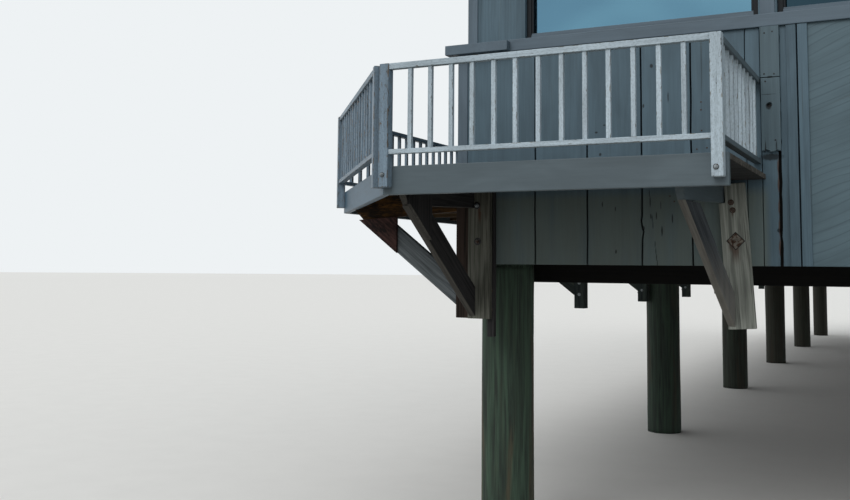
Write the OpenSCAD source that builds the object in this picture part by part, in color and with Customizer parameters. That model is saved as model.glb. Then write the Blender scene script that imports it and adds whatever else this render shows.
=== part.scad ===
// Beach tower on timber piles, with a railed corner balcony that runs on along its left side.
// Millimetres, +Z up, front wall towards -Y. The origin is the middle of the footprint at the
// piles' feet. Heights inside the modules are counted from the bottom edge of the wall boards.

/* [Building] */
// Whole bays from pile row to pile row, along the building
bays = 5; // [2:1:6]
// Length of one bay
bay = 4200; // [3800:50:4600]
// Width of the front wall
front_w = 5040; // [4800:10:5400]
// Height of the wall boards' bottom edge over the ground
clearance = 1650; // [1200:50:2400]
// Height of the floor over the bottom edge of the wall boards
floor_z = 484; // [440:2:520]
// Height of the walls' top over that edge, at their outer face
wall_top = 2920; // [2800:10:3200]
// Thickness of the walls
wall_t = 120; // [90:5:150]

/* [Piles] */
// Diameter of a pile
pile_d = 330; // [280:10:380]
// Distance of a pile's axis from the side wall's outer face
pile_inset_x = 115; // [100:5:200]
// Distance of the end rows' axes from the end walls' outer faces
pile_inset_y = 510; // [450:10:600]

/* [Windows] */
// Clear width of one window
window_w = 1342; // [1200:2:1400]
// Width of the post between two windows
window_post = 97; // [80:1:110]
// Height of a window's bottom edge
window_z = 1350; // [1340:5:1400]
// Height of a window
window_h = 1080; // [900:20:1200]

/* [Balcony] */
// Depth of the front balcony, out to its edge board's face
front_depth = 1104; // [1000:4:1200]
// Depth of the side balcony, out to its edge board's face
side_depth = 1030; // [950:10:1100]
// Place of the front balcony's right end
front_end = 1780; // [1760:5:1800]
// Place of the cut-off corner's front end
cut_front_x = 88; // [60:4:160]
// Place of the cut-off corner's side end
cut_side_y = 345; // [300:5:400]
// Height of the top rail's upper face
rail_z = 1000; // [980:10:1100]
// Height of the bottom rail's lower face
rail_low_z = 540; // [530:5:580]
// Spacing of the balusters
baluster_pitch = 114; // [100:2:130]
// Distance from one side bracket to the next
bracket_pitch = 2030; // [1950:5:2100]
// Slope of the front brackets' braces
front_brace_deg = 35; // [33:0.5:40]
// Slope of the side brackets' braces
side_brace_deg = 37.5; // [35:0.5:40]

/* [Roof] */
// How far the eaves reach past the walls
eave = 450; // [300:10:600]
// Rise of the roof for each millimetre inwards
roof_rise = 0.33; // [0.25:0.01:0.45]

/* [Hidden] */
$fn = 64;

// Building
build_l = 2 * pile_inset_y + bays * bay;
sill_top = window_z - 8;
sill_h = 70;
lower_top = sill_top - sill_h;
upper_inset = 45;
side_margin = (bay - 2 * window_w - window_post) / 2;
front_margin = (front_w - 3 * window_w - 2 * window_post) / 2;
window_step = window_w + window_post;
frame_w = 28;
frame_d = 60;
glass_t = 8;
glass_set = 40;
sill_out = 20;
ledge_out = 70;
ledge_h = 59;
ledge_len = 338;
ledge_drop = 12;
corner_board = 55;
corner_board_t = 8;
door_w = 900;
door_top = floor_z + 2030;
door_y = pile_inset_y + bay;
door_t = 44;
window_set = upper_inset + 30;
rail_board_w = 96;
rail_board_t = 22;
rail_board_low = 592;
bolt_hole = [42, 849];
bolt_hole_d = 26;
batten_x = [1896, 1953];
batten_w = 50;
batten_t = 14;

// Substructure
girder_low = -112;
girder_t = 75;
girder_seat = 20;
girder_top = 205;
girder_end = 20;
joist_t = 45;
joist_count = 8;
floor_t = 30;

// Space left between boards that would otherwise share a face
gap = 2;

// Balcony
deck_top = floor_z;
deck_t = 28;
deck_low = deck_top - deck_t;
edge_t = 38;
edge_h = 144;
edge_low = deck_top - edge_h;
joist_w = 38;
shallow_low = deck_low - 90;
deep_in = 338;
deep_out = 295;
post = 52;
post_low = 375;
post_gap = 6;
post_right = front_end - 65;
rail_board_x = post_right + post - 1;
rail_w = 38;
top_rail_h = 30;
low_rail_h = 24;
baluster = 22;
first_bracket = 2470;
rear_clear = 1000;
bracket_count = floor((build_l - rear_clear - first_bracket) / bracket_pitch) + 1;
plank_w = 140;
plank_t = 38;
plank_low = -320;
plank_lean = 3.4;
joist_slant = 145;
joists_between = 3;
brace_w = 140;
brace_foot = plank_low + 14;
brace_turn = 4.2;
side_brace_w = 130;
side_brace_low = -243;
stud_w = 89;
stud_low = -350;
balcony_end = first_bracket + (bracket_count - 1) * bracket_pitch + post;
rail_start = cut_side_y + 20;
left_plank_x = 94;
left_brace_x = 105;
gusset_t = 19;
left_joist_x = 91;
left_joist_turn = 0.8;
right_plank_x = 1542;
right_plank_low = -335;
right_plank_top = deck_low - 24;
right_brace_x = 1600;
right_joist_x = 1530;
right_joist_turn = -0.8;
gusset_w = 255;
gusset_y = -690;
corner_drop = 22;
corner_nose = 20;
corner_slant = 65;
corner_gusset_x = -400;
hanger_x = [205, 245];
hanger_low = -425;

// The cut-off corner: its direction, its inward normal, and lines parallel to it
cut_a = [cut_front_x, -front_depth];
cut_b = [-side_depth, cut_side_y];
cut_len = norm(cut_b - cut_a);
cut_dir = (cut_b - cut_a) / cut_len;
cut_normal = [cut_dir[1], -cut_dir[0]];
cut_angle = atan2(cut_dir[1], cut_dir[0]);
function cut_x(y, inside) = cut_a[0] + (inside - cut_normal[1] * (y - cut_a[1])) / cut_normal[0];
function cut_y(x, inside) = cut_a[1] + (inside - cut_normal[0] * (x - cut_a[0])) / cut_normal[1];
inner_front = -front_depth + edge_t;
inner_side = -side_depth + edge_t;
inner_a = [cut_x(inner_front, edge_t), inner_front];
inner_b = [inner_side, cut_y(inner_side, edge_t)];

// Roof
roof_t = 60;
roof_l = build_l + 2 * eave;
roof_w = front_w + 2 * eave;
eave_low = wall_top - (eave + upper_inset) * roof_rise;
ridge_low = eave_low + roof_w / 2 * roof_rise;
eave_board_h = 150;
eave_board_t = 25;
soffit_t = 15;
soffit_low = eave_low - 60;
soffit_top = soffit_low + soffit_t;

// The footprint's middle, seen from the front left corner of the walls
rail_reach = side_depth + post;
front_reach = front_depth + post;
origin_x = (front_w + eave - rail_reach) / 2;
origin_y = (build_l + eave - front_reach) / 2;

function bracket_y(k) = first_bracket + k * bracket_pitch;
side_brackets = [for (k = [0 : bracket_count - 1]) bracket_y(k)];

BASE_NODES = [
    "cross_girders", "floor_joists", "floor_boards",
    "front_lower_wall", "rear_lower_wall", "left_lower_wall", "right_lower_wall",
    "front_upper_wall", "rear_upper_wall", "left_upper_wall", "right_upper_wall",
    "sill_beams", "corner_ledge", "corner_boards", "rail_end_board", "seam_battens",
    "window_frames", "window_glass", "balcony_door",
    "front_deck", "side_deck", "deck_joists", "bracket_joists",
    "front_edge_board", "cut_edge_board", "side_edge_board",
    "front_left_plank", "front_left_brace", "front_gusset", "plank_hanger",
    "front_right_plank", "front_right_brace", "corner_stud", "corner_brace", "corner_gusset",
    "side_studs", "side_braces",
    "front_posts", "side_posts", "front_railing", "cut_railing", "end_railings", "side_railing",
    "roof_left", "roof_right", "roof_front", "roof_rear", "eave_boards", "soffit_boards"
];

// Puts the children on the walls' front left corner, at the height of the boards' bottom edge
module at_corner() {
    translate([-origin_x, -origin_y, clearance])
        children();
}

// A box from its low to its high corner
module block(low, high) {
    translate(low)
        cube(high - low);
}

// A plan outline raised from one height to another
module raised(outline, low, high) {
    translate([0, 0, low])
        linear_extrude(high - low)
            polygon(outline);
}

// Everything under the roof boards' lower faces
module under_roof() {
    half = roof_w / 2;
    intersection() {
        translate([-eave, build_l + eave, 0])
            rotate([90, 0, 0])
                linear_extrude(roof_l)
                    polygon([[0, 0], [roof_w, 0], [roof_w, eave_low], [half, ridge_low], [0, eave_low]]);
        translate([-eave, -eave, 0])
            rotate([90, 0, 90])
                linear_extrude(roof_w)
                    polygon([[0, 0], [roof_l, 0], [roof_l, eave_low], [roof_l - half, ridge_low],
                             [half, ridge_low], [0, eave_low]]);
    }
}

// One round pile of the left side, its head cut back under the wall and for the cross girders
module pile(row) {
    y = pile_inset_y + (row - 1) * bay;
    reach = pile_d / 2 - girder_seat;
    difference() {
        translate([pile_inset_x, y, -clearance])
            cylinder(h = clearance + girder_top, d = pile_d);
        block([-pile_d, y - pile_d, 0], [wall_t, y + pile_d, girder_top + 1]);
        if (row > 1)
            block([-pile_d, y - pile_d, girder_low], [2 * pile_d, y - reach, girder_top + 1]);
        if (row <= bays)
            block([-pile_d, y + reach, girder_low], [2 * pile_d, y + pile_d, girder_top + 1]);
    }
}

// One row of two piles
module pile_row(row) {
    color("darkolivegreen")
        at_corner() {
            pile(row);
            translate([front_w, 0, 0])
                mirror([1, 0, 0])
                    pile(row);
        }
}

// Timbers across the building on both sides of each row, on the inner side alone at the ends
module cross_girders() {
    reach = pile_d / 2 - girder_seat;
    color("saddlebrown")
        at_corner()
            for (row = [0 : bays], side = [-1, 1])
                if (!(row == 0 && side < 0) && !(row == bays && side > 0)) {
                    near = pile_inset_y + row * bay + (side > 0 ? reach : -reach - girder_t);
                    block([girder_end, near, girder_low], [front_w - girder_end, near + girder_t, 0]);
                    block([wall_t, near, 0], [front_w - wall_t, near + girder_t, girder_top]);
                }
}

// Joists along the building, on the girders and pile heads
module floor_joists() {
    inside = front_w - 2 * wall_t - joist_t;
    color("saddlebrown")
        at_corner()
            for (k = [0 : joist_count - 1]) {
                x = wall_t + inside * k / (joist_count - 1);
                block([x, wall_t, girder_top], [x + joist_t, build_l - wall_t, floor_z - floor_t]);
            }
}

// Floor between the walls
module floor_boards() {
    color("tan")
        at_corner()
            block([wall_t, wall_t, floor_z - floor_t], [front_w - wall_t, build_l - wall_t, floor_z]);
}

// Lower part of an end wall, between the side walls
module lower_end_wall(y) {
    color("slategray")
        at_corner()
            block([wall_t, y, 0], [front_w - wall_t, y + wall_t, lower_top]);
}

// Opening for the door in the left wall
module door_opening() {
    block([-wall_t, door_y - door_w / 2, floor_z], [2 * wall_t, door_y + door_w / 2, door_top]);
}

// Lower part of the left wall, open for the door
module left_lower_wall() {
    color("slategray")
        at_corner()
            difference() {
                block([0, 0, 0], [wall_t, build_l, lower_top]);
                door_opening();
            }
}

// Lower part of the right wall
module right_lower_wall() {
    color("slategray")
        at_corner()
            block([front_w - wall_t, 0, 0], [front_w, build_l, lower_top]);
}

// Places of the windows' left edges in an end wall
front_windows = [for (k = [0 : 2]) front_margin + k * window_step];

// Places of the windows' front edges in a side wall, two in each bay
side_windows = [for (b = [0 : bays - 1], k = [0, 1]) pile_inset_y + b * bay + side_margin + k * window_step];

// Upper part of an end wall, with its windows cut through
module upper_end_wall(low_y, high_y) {
    color("slategray")
        at_corner()
            intersection() {
                under_roof();
                difference() {
                    block([wall_t, low_y, lower_top], [front_w - wall_t, high_y, wall_top + wall_t]);
                    for (x = front_windows)
                        block([x, low_y - 1, window_z], [x + window_w, high_y + 1, window_z + window_h]);
                }
            }
}

// Upper part of a side wall, with its windows cut through, and the door where it has one
module upper_side_wall(low_x, high_x, has_door) {
    color("slategray")
        at_corner()
            intersection() {
                under_roof();
                difference() {
                    block([low_x, upper_inset, lower_top],
                          [high_x, build_l - upper_inset, wall_top + wall_t]);
                    for (y = side_windows)
                        block([low_x - 1, y, window_z], [high_x + 1, y + window_w, window_z + window_h]);
                    if (has_door)
                        door_opening();
                }
            }
}

// Beams on the lower walls' tops, under the windows, and open for the door
module sill_beams() {
    side_start = upper_inset + gap;
    side_end = build_l - side_start;
    door_low = door_y - door_w / 2;
    door_high = door_y + door_w / 2;
    color("dimgray")
        at_corner() {
            for (y = [[-sill_out, upper_inset], [build_l - upper_inset, build_l + sill_out]])
                block([-sill_out, y[0], lower_top], [front_w + sill_out, y[1], sill_top]);
            for (y = [[side_start, door_low], [door_high, side_end]])
                block([-sill_out, y[0], lower_top], [upper_inset, y[1], sill_top]);
            block([front_w - upper_inset, side_start, lower_top], [front_w + sill_out, side_end, sill_top]);
        }
}

// Ledge round the front left corner, on the sill beams' faces
module corner_ledge() {
    top = sill_top - ledge_drop;
    low = top - ledge_h;
    color("dimgray")
        at_corner()
            difference() {
                block([-ledge_out, -ledge_out, low], [ledge_len, ledge_len, top]);
                block([-sill_out, -sill_out, low - 1], [ledge_len + 1, ledge_len + 1, top + 1]);
            }
}

// Two boards that meet on a corner, set back by an inset, from one height to another
module corner_piece(inset, low, high) {
    out = inset - corner_board_t;
    reach = inset + corner_board;
    difference() {
        block([out, out, low], [reach, reach, high]);
        block([inset, inset, low - 1], [reach + 1, reach + 1, high + 1]);
    }
}

// Boards on the four corners, lower and upper, over the deck alone at the balcony's corner
module corner_boards() {
    color("slategray")
        at_corner()
            for (right = [0, 1], rear = [0, 1]) {
                foot = right + rear == 0 ? deck_top : 0;
                translate([right * front_w, rear * build_l, 0])
                    mirror([right, 0, 0])
                        mirror([0, rear, 0]) {
                            corner_piece(0, foot, lower_top);
                            corner_piece(upper_inset, sill_top, soffit_low);
                        }
            }
}

// Board on the front wall that takes the ends of the balcony's rails, with an old bolt hole
module rail_end_board() {
    color("slategray")
        at_corner()
            difference() {
                block([rail_board_x, -rail_board_t, rail_board_low],
                      [rail_board_x + rail_board_w, 0, lower_top - 1]);
                translate([rail_board_x + bolt_hole[0], 1, bolt_hole[1]])
                    rotate([90, 0, 0])
                        cylinder(h = rail_board_t + 2, d = bolt_hole_d);
            }
}

// Two battens over the seam right of the balcony
module seam_battens() {
    color("slategray")
        at_corner()
            for (x = batten_x)
                block([x, -batten_t, 0], [x + batten_w, 0, lower_top - 1]);
}

// One window frame, standing in the XZ plane, front face at y = 0
module window_frame() {
    difference() {
        cube([window_w, frame_d, window_h]);
        translate([frame_w, -1, frame_w])
            cube([window_w - 2 * frame_w, frame_d + 2, window_h - 2 * frame_w]);
    }
}

// One pane that fills a frame
module pane() {
    translate([frame_w, glass_set, frame_w])
        cube([window_w - 2 * frame_w, glass_t, window_h - 2 * frame_w]);
}

// Puts a window, drawn in the XZ plane and facing -Y, in every opening of the four walls
module in_every_window() {
    at_corner() {
        for (x = front_windows) {
            translate([x, window_set, window_z])
                children();
            translate([x + window_w, build_l - window_set, window_z])
                rotate([0, 0, 180])
                    children();
        }
        for (y = side_windows) {
            translate([window_set, y + window_w, window_z])
                rotate([0, 0, -90])
                    children();
            translate([front_w - window_set, y, window_z])
                rotate([0, 0, 90])
                    children();
        }
    }
}

// Frames of all windows
module window_frames() {
    color("dimgray")
        in_every_window()
            window_frame();
}

// Panes of all windows
module window_glass() {
    color("lightblue", 0.5)
        in_every_window()
            pane();
}

// Door leaf in the left wall, closed
module balcony_door() {
    color("slategray")
        at_corner()
            block([upper_inset, door_y - door_w / 2, floor_z],
                  [upper_inset + door_t, door_y + door_w / 2, door_top]);
}

// Balcony floor in front of the building
module front_deck() {
    color("rosybrown")
        at_corner()
            raised([inner_a, [front_end, inner_front], [front_end, 0], [cut_x(0, edge_t), 0]],
                   deck_low, deck_top);
}

// Balcony floor along the left wall
module side_deck() {
    color("rosybrown")
        at_corner()
            raised([[cut_x(0, edge_t), 0], [0, 0], [0, balcony_end], [inner_side, balcony_end], inner_b],
                   deck_low, deck_top);
}

// Shallow joists between the side brackets
module deck_joists() {
    step = bracket_pitch / (joists_between + 1);
    color("peru")
        at_corner()
            for (y = side_brackets, k = [1 : joists_between])
                block([inner_side, y - k * step, shallow_low], [0, y - k * step + joist_w, deck_low]);
}

// Deep joist going out along -X from the origin, its lower edge falling outwards and its outer end
// cut off at a slant
module bracket_joist(outer) {
    rotate([90, 0, 0])
        linear_extrude(joist_w)
            polygon([[0, deck_low], [0, deep_in], [outer + joist_slant, deep_out], [outer, deck_low]]);
}

// The corner joist runs along the front wall's line and ends in a nose under the edge board
corner_nose_x = cut_x(-joist_w, 0) + corner_nose;
corner_foot_x = corner_nose_x + corner_slant;
corner_low = deep_out - corner_drop;

// Height of the corner joist's lower edge
function corner_edge(x) = deep_in - corner_drop - (deep_in - deep_out) * x / corner_foot_x;

// Joist from the corner upright out to the cut-off corner
module corner_joist() {
    inner_x = cut_x(-joist_w, edge_t) + gap;
    under = edge_low - gap;
    rotate([90, 0, 0])
        linear_extrude(joist_w)
            polygon([[0, deck_low], [0, corner_edge(0)], [corner_foot_x, corner_low],
                     [corner_nose_x, under], [inner_x, under], [inner_x, deck_low]]);
}

// Deep joists on the brackets, the two in front turned a little out of square
module bracket_joists() {
    color("peru")
        at_corner() {
            for (j = [[left_joist_x, left_joist_turn], [right_joist_x, right_joist_turn]])
                translate([j[0], -gap, 0])
                    rotate([0, 0, 90 + j[1]])
                        bracket_joist(inner_front + 2 * gap);
            corner_joist();
            for (y = side_brackets)
                translate([0, y + joist_w, 0])
                    bracket_joist(inner_side);
        }
}

// Board along the front edge, mitred at the cut-off corner
module front_edge_board() {
    color("slategray")
        at_corner()
            raised([cut_a, [front_end, -front_depth], [front_end, inner_front], inner_a], edge_low, deck_top);
}

// Board along the cut-off corner, mitred at both ends
module cut_edge_board() {
    color("slategray")
        at_corner()
            raised([cut_a, inner_a, inner_b, cut_b], edge_low, deck_top);
}

// Board along the side edge, mitred at the cut-off corner
module side_edge_board() {
    color("slategray")
        at_corner()
            raised([cut_b, inner_b, [inner_side, balcony_end], [-side_depth, balcony_end]],
                   edge_low, deck_top);
}

// Plank of the front left bracket, on the hanger's face, notched round the joist
module front_left_plank() {
    notch_x = left_joist_x + joist_w + 2 * gap;
    color("gray")
        at_corner()
            difference() {
                block([left_plank_x, -2 * plank_t, plank_low],
                      [left_plank_x + plank_w, -plank_t, deck_low - gap]);
                block([left_plank_x - 1, -2 * plank_t - 1, deep_in - 3 * gap],
                      [notch_x, -plank_t + 1, deck_low]);
            }
}

// Plank of the front right bracket, nailed a little out of plumb and notched round the joist
module front_right_plank() {
    tall = right_plank_top - deep_in;
    notch = right_joist_x + joist_w - right_plank_x + tall * sin(plank_lean) + gap;
    color("gray")
        at_corner()
            translate([right_plank_x, 0, deep_in])
                rotate([0, -plank_lean, 0])
                    difference() {
                        block([0, -plank_t, right_plank_low - deep_in], [plank_w, 0, tall]);
                        block([-1, -plank_t - 1, -3 * gap], [notch, 1, tall + 1]);
                    }
}

// Side view of a brace from a foot at the origin, going out along +X, cut plumb at the foot and
// level at the top
module brace_outline(width, degrees, top) {
    rise = width / cos(degrees);
    polygon([[0, 0], [top / tan(degrees), top], [(top - rise) / tan(degrees), top], [0, rise]]);
}

// Brace of a front bracket, from its foot on a plank's face, turned sideways by an angle
module front_brace(foot, turn) {
    translate(foot)
        rotate([0, 0, -90 + turn])
            rotate([90, 0, 0])
                linear_extrude(joist_w, center = true)
                    brace_outline(brace_w, front_brace_deg, deep_out - foot[2]);
}

// Brace from the left plank up to the front edge
module front_left_brace() {
    color("dimgray")
        at_corner()
            front_brace([left_brace_x + joist_w / 2, -2 * plank_t, brace_foot], 0);
}

// Brace from the right plank up to the joist, not quite square to the wall
module front_right_brace() {
    color("dimgray")
        at_corner()
            difference() {
                front_brace([right_brace_x, -plank_t + gap, plank_low], -brace_turn);
                block([right_plank_x, -plank_t, right_plank_low], [right_plank_x + plank_w, 0, 0]);
            }
}

// Short plate that ties the front left bracket's joist to its brace
module front_gusset() {
    far_y = gusset_y - gusset_w;
    near_low = brace_foot + (-2 * plank_t - gusset_y) * tan(front_brace_deg);
    far_low = brace_foot + (-2 * plank_t - far_y) * tan(front_brace_deg);
    color("dimgray")
        at_corner()
            translate([left_brace_x + joist_w, 0, 0])
                rotate([90, 0, 90])
                    linear_extrude(gusset_t)
                        polygon([[gusset_y, deck_low], [gusset_y, near_low],
                                 [far_y, far_low], [far_y, deck_low]]);
}

// Brace of a side bracket, from its foot on an upright's outer face up to a height
module side_brace(x, y, top) {
    translate([x, y + joist_w, side_brace_low])
        mirror([1, 0, 0])
            rotate([90, 0, 0])
                linear_extrude(joist_w)
                    brace_outline(side_brace_w, side_brace_deg, top - side_brace_low);
}

// Upright at the walls' front left corner
module corner_stud() {
    color("sienna")
        at_corner()
            block([0, -plank_t, plank_low], [stud_w, 0, deck_low - gap]);
}

// Brace from the corner upright out to the cut-off corner
module corner_brace() {
    color("slategray")
        at_corner()
            side_brace(0, -plank_t, corner_low);
}

// Three-cornered plate over the head of the corner brace
module corner_gusset() {
    low = side_brace_low - corner_gusset_x * tan(side_brace_deg);
    tip = corner_gusset_x - (corner_low - low) / tan(side_brace_deg);
    color("sienna")
        at_corner()
            translate([0, -plank_t, 0])
                rotate([90, 0, 0])
                    linear_extrude(gusset_t)
                        polygon([[corner_gusset_x, corner_edge(corner_gusset_x)], [corner_gusset_x, low],
                                 [tip, corner_low]]);
}

// Hanger behind the front left plank's right edge, reaching down past it
module plank_hanger() {
    color("dimgray")
        at_corner()
            block([hanger_x[0], -plank_t, hanger_low], [hanger_x[1], 0, deck_low - gap]);
}

// Uprights of the side brackets
module side_studs() {
    color("gray")
        at_corner()
            for (y = side_brackets)
                block([-stud_w, y, stud_low], [0, y + stud_w, deep_in - 3 * gap]);
}

// Braces of the side brackets
module side_braces() {
    color("gray")
        at_corner()
            for (y = side_brackets)
                side_brace(-stud_w, y, deep_out);
}

// One railing post, from its corner
module rail_post() {
    cube([post, post, rail_z - post_low]);
}

// Posts of the front balcony and the cut-off corner
module front_posts() {
    color("gainsboro")
        at_corner()
            translate([0, 0, post_low]) {
                for (x = [cut_front_x, post_right])
                    translate([x, -front_depth - post, 0])
                        rail_post();
                translate(cut_a + post_gap * cut_dir)
                    rotate([0, 0, cut_angle])
                        rail_post();
                translate(cut_b - (post + post_gap) * cut_dir)
                    rotate([0, 0, cut_angle])
                        rail_post();
            }
}

// Posts along the side balcony
module side_posts() {
    color("gainsboro")
        at_corner()
            for (y = side_brackets)
                translate([-side_depth - post, y, post_low])
                    rail_post();
}

// One length of railing along +X: two rails, with balusters between them
module railing(length) {
    count = round(length / baluster_pitch) - 1;
    step = length / (count + 1);
    translate([0, -rail_w / 2, rail_z - top_rail_h])
        cube([length, rail_w, top_rail_h]);
    translate([0, -rail_w / 2, rail_low_z])
        cube([length, rail_w, low_rail_h]);
    for (k = [1 : count])
        translate([k * step - baluster / 2, -baluster / 2, rail_low_z])
            cube([baluster, baluster, rail_z - rail_low_z - 1]);
}

// Railing of the front balcony
module front_railing() {
    color("gainsboro")
        at_corner()
            translate([cut_front_x + post, -front_depth - post / 2, 0])
                railing(post_right - cut_front_x - post);
}

// Railing of the cut-off corner
module cut_railing() {
    start = cut_a + (post_gap + post) * cut_dir - post / 2 * cut_normal;
    color("gainsboro")
        at_corner()
            translate(start)
                rotate([0, 0, cut_angle])
                    railing(cut_len - 2 * post_gap - 2 * post);
}

// Railings from the end posts back to the wall
module end_railings() {
    color("gainsboro")
        at_corner() {
            translate([post_right + post / 2, -front_depth, 0])
                rotate([0, 0, 90])
                    railing(front_depth);
            translate([-side_depth, side_brackets[bracket_count - 1] + post / 2, 0])
                railing(side_depth);
        }
}

// Railings between the side posts
module side_railing() {
    starts = concat([rail_start], [for (y = side_brackets) y + post]);
    color("gainsboro")
        at_corner()
            for (k = [0 : bracket_count - 1])
                translate([-side_depth - post / 2, starts[k], 0])
                    rotate([0, 0, 90])
                        railing(side_brackets[k] - starts[k]);
}

// A roof face of even thickness over a four-cornered or three-cornered outline
module roof_face(corners) {
    n = len(corners);
    lower = corners;
    upper = [for (c = corners) c + [0, 0, roof_t]];
    sides = [for (k = [0 : n - 1]) [k, n + k, n + (k + 1) % n, (k + 1) % n]];
    under = [for (k = [0 : n - 1]) k];
    over = [for (k = [n - 1 : -1 : 0]) n + k];
    color("dimgray")
        at_corner()
            polyhedron(points = concat(lower, upper), faces = concat([under, over], sides));
}

// Corners of the eaves and the ends of the ridge, on the roof's lower face
eave_fl = [-eave, -eave, eave_low];
eave_fr = [front_w + eave, -eave, eave_low];
eave_rr = [front_w + eave, build_l + eave, eave_low];
eave_rl = [-eave, build_l + eave, eave_low];
ridge_f = [front_w / 2, roof_w / 2 - eave, ridge_low];
ridge_r = [front_w / 2, build_l + eave - roof_w / 2, ridge_low];

// Boards round the eaves, under the roof's edge
module eave_boards() {
    t = eave_board_t;
    low = eave_low - eave_board_h;
    top = eave_low + t;
    color("slategray")
        at_corner()
            intersection() {
                under_roof();
                union() {
                    for (y = [-eave, build_l + eave - t])
                        block([-eave, y, low], [front_w + eave, y + t, top]);
                    for (x = [-eave, front_w + eave - t])
                        block([x, -eave + t + gap, low], [x + t, build_l + eave - t - gap, top]);
                }
            }
}

// Boards that close the eaves from below
module soffit_boards() {
    t = eave_board_t;
    color("gray")
        at_corner() {
            for (y = [[-eave + t, upper_inset], [build_l - upper_inset, build_l + eave - t]])
                block([-eave + t, y[0], soffit_low], [front_w + eave - t, y[1], soffit_top]);
            for (x = [[-eave + t, upper_inset], [front_w - upper_inset, front_w + eave - t]])
                block([x[0], upper_inset + gap, soffit_low],
                      [x[1], build_l - upper_inset - gap, soffit_top]);
        }
}

for (row = [1 : bays + 1])
    pile_row(row);
cross_girders();
floor_joists();
floor_boards();
lower_end_wall(0);  // front_lower_wall
lower_end_wall(build_l - wall_t);  // rear_lower_wall
left_lower_wall();
right_lower_wall();
upper_end_wall(upper_inset, wall_t);  // front_upper_wall
upper_end_wall(build_l - wall_t, build_l - upper_inset);  // rear_upper_wall
upper_side_wall(upper_inset, wall_t, true);  // left_upper_wall
upper_side_wall(front_w - wall_t, front_w - upper_inset, false);  // right_upper_wall
sill_beams();
corner_ledge();
corner_boards();
rail_end_board();
seam_battens();
window_frames();
window_glass();
balcony_door();
front_deck();
side_deck();
deck_joists();
bracket_joists();
front_edge_board();
cut_edge_board();
side_edge_board();
front_left_plank();
front_left_brace();
front_right_plank();
front_right_brace();
corner_stud();
corner_brace();
corner_gusset();
front_gusset();
plank_hanger();
side_studs();
side_braces();
front_posts();
side_posts();
front_railing();
cut_railing();
end_railings();
side_railing();
roof_face([eave_fl, ridge_f, ridge_r, eave_rl]);  // roof_left
roof_face([eave_fr, eave_rr, ridge_r, ridge_f]);  // roof_right
roof_face([eave_fl, eave_fr, ridge_f]);  // roof_front
roof_face([eave_rl, ridge_r, eave_rr]);  // roof_rear
eave_boards();
soffit_boards();
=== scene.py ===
# Looks of a beach tower on piles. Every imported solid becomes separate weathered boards, and glass,
# shingles, fastenings and trim go round them. Metres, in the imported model's frame.
import math
import random
import bmesh
import bpy
import numpy as np
from mathutils import Matrix, Vector, noise


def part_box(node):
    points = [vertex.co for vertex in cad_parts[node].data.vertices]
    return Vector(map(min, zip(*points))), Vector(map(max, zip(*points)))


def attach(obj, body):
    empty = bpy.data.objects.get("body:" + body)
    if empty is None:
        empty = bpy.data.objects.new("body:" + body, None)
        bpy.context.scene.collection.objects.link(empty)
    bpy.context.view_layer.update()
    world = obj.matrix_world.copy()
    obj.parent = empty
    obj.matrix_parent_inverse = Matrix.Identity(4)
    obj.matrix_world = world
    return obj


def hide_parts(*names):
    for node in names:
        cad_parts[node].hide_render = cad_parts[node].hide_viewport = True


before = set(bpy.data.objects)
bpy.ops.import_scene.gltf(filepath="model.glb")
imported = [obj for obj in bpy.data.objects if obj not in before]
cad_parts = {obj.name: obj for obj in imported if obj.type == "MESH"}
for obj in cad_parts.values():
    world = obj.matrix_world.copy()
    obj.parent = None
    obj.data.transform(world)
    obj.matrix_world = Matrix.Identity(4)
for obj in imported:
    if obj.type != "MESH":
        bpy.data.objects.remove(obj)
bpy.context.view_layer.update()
rng = random.Random(17)

X, Y, Z = Vector((1, 0, 0)), Vector((0, 1, 0)), Vector((0, 0, 1))
# The walls' front left corner, at the bottom edge of the wall boards
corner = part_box("left_lower_wall")[0]
far_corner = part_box("right_lower_wall")[1]
width = far_corner.x - corner.x
sill_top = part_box("sill_beams")[1].z
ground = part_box("pile_row_1")[0].z
# The gap that keeps the faces of two pieces from lying in one plane
clear = 0.0005


def place(x, y, z):
    """A point counted from the walls' front left corner."""
    return corner + Vector((x, y, z))


def srgb(text):
    """A colour written as six hex digits, as the shaders want it."""
    parts = [int(text[k:k + 2], 16) / 255 for k in (0, 2, 4)]
    return [p / 12.92 if p <= 0.04045 else ((p + 0.055) / 1.055) ** 2.4 for p in parts] + [1.0]


# Materials

class Nodes:
    """A node tree built from short calls. A value is another node's socket or a plain number."""

    def __init__(self, tree):
        self.tree = tree

    def node(self, kind, inputs, **settings):
        made = self.tree.nodes.new(kind)
        for key, value in settings.items():
            setattr(made, key, value)
        for key, value in inputs.items():
            self.plug(made.inputs[key], value)
        return made

    def plug(self, socket, value):
        if isinstance(value, bpy.types.NodeSocket):
            self.tree.links.new(value, socket)
        else:
            socket.default_value = value

    def calc(self, operation, *values):
        return self.node("ShaderNodeMath", dict(enumerate(values)), operation=operation).outputs[0]

    def times(self, a, b):
        return self.calc("MULTIPLY", a, b)

    def plus(self, a, b):
        return self.calc("ADD", a, b)

    def seen_directly(self):
        """1 for what the camera, gloss and glass see, and 0 for the light that surfaces receive."""
        ways = self.node("ShaderNodeLightPath", {}).outputs
        seen = self.calc("MAXIMUM", ways["Is Camera Ray"], ways["Is Glossy Ray"])
        return self.calc("MAXIMUM", seen, ways["Is Transmission Ray"])


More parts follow.
